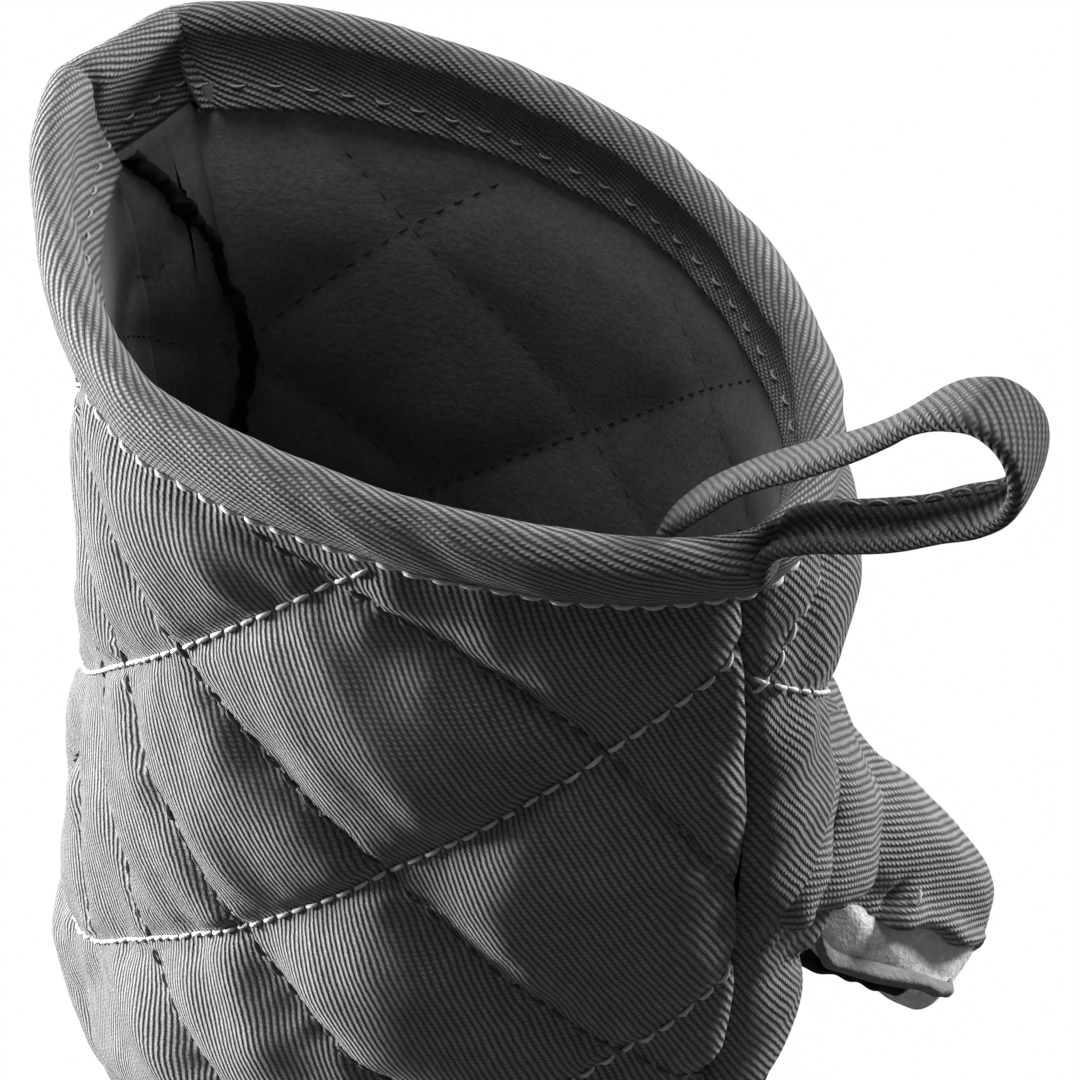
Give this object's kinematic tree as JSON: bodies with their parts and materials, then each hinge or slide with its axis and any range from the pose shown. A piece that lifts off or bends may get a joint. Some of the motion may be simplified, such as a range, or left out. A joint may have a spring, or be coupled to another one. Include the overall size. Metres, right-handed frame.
{
  "type": "oven mitt",
  "caption": "Short quilted oven mitt with a padded thumb, dark fleece lining, folded cuff binding and a cloth hanging loop; shields a hand that holds hot cookware.",
  "frame": {"origin": "on the flattened fingertips the mitt stands on, below the middle of the cuff", "axes": "+Z from the fingertips to the cuff, +X towards the thumb seam, +Y from the back of the hand to the palm"},
  "size_m": [0.1731, 0.1042, 0.2447],
  "materials": {
    "twill": "woven cotton twill",
    "binding_twill": "folded cotton twill strip",
    "batting": "fibre wadding",
    "lining": "dark brushed fleece",
    "brushed_cloth": "brushed cotton"
  },
  "bodies": {
    "hand": {"back_shell": "twill", "palm_shell": "twill", "back_batting": "batting", "palm_batting": "batting", "back_lining": "lining", "palm_lining": "lining", "cuff_binding": "binding_twill"},
    "thumb": {"thumb_shell": "twill", "thumb_grip": "brushed_cloth", "thumb_batting_back": "batting", "thumb_batting_grip": "batting", "thumb_lining_back": "lining", "thumb_lining_grip": "lining"},
    "loop": {"hanging_loop": "binding_twill"}
  },
  "joints": [
    {"name": "thumb_spread", "type": "hinge", "parent": "hand", "child": "thumb", "pos_m": [0.0285, 0.0342, 0.177], "axis": [0.866, -0.5, 0], "range_deg": [0, 20]},
    {"name": "loop_swing", "type": "hinge", "parent": "hand", "child": "loop", "pos_m": [0.0688, 0.0005, 0.2228], "axis": [0.4695, -0.8829, 0], "range_deg": [-110, 45]}
  ]
}
